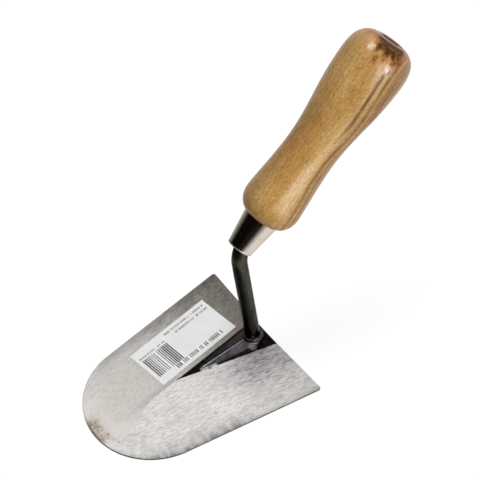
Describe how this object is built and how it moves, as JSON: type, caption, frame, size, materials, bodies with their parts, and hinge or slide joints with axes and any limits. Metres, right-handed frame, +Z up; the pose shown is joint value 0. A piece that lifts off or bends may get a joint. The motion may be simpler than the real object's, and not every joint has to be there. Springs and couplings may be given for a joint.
{
  "type": "brick trowel",
  "caption": "Mason's trowel with a round-nosed steel blade, a bent round-bar neck on a welded foot, a tapered ferrule and a turned wooden handle.",
  "frame": {"origin": "on the underside of the blade, below the middle of the neck", "axes": "+X from the heel to the toe of the blade, +Y to the left, +Z up from the blade"},
  "size_m": [0.231, 0.1124, 0.197],
  "materials": {
    "blade_steel": "satin",
    "black_steel": "satin",
    "weld_steel": "satin",
    "ferrule_plate": "polished",
    "handle_wood": "gloss",
    "sticker_paper": "satin"
  },
  "bodies": {
    "root": {"blade": "blade_steel", "foot": "black_steel", "shank": "black_steel", "neck_weld": "weld_steel", "foot_tacks": "weld_steel", "ferrule": "ferrule_plate", "handle": "handle_wood", "sticker": "sticker_paper"}
  },
  "joints": []
}
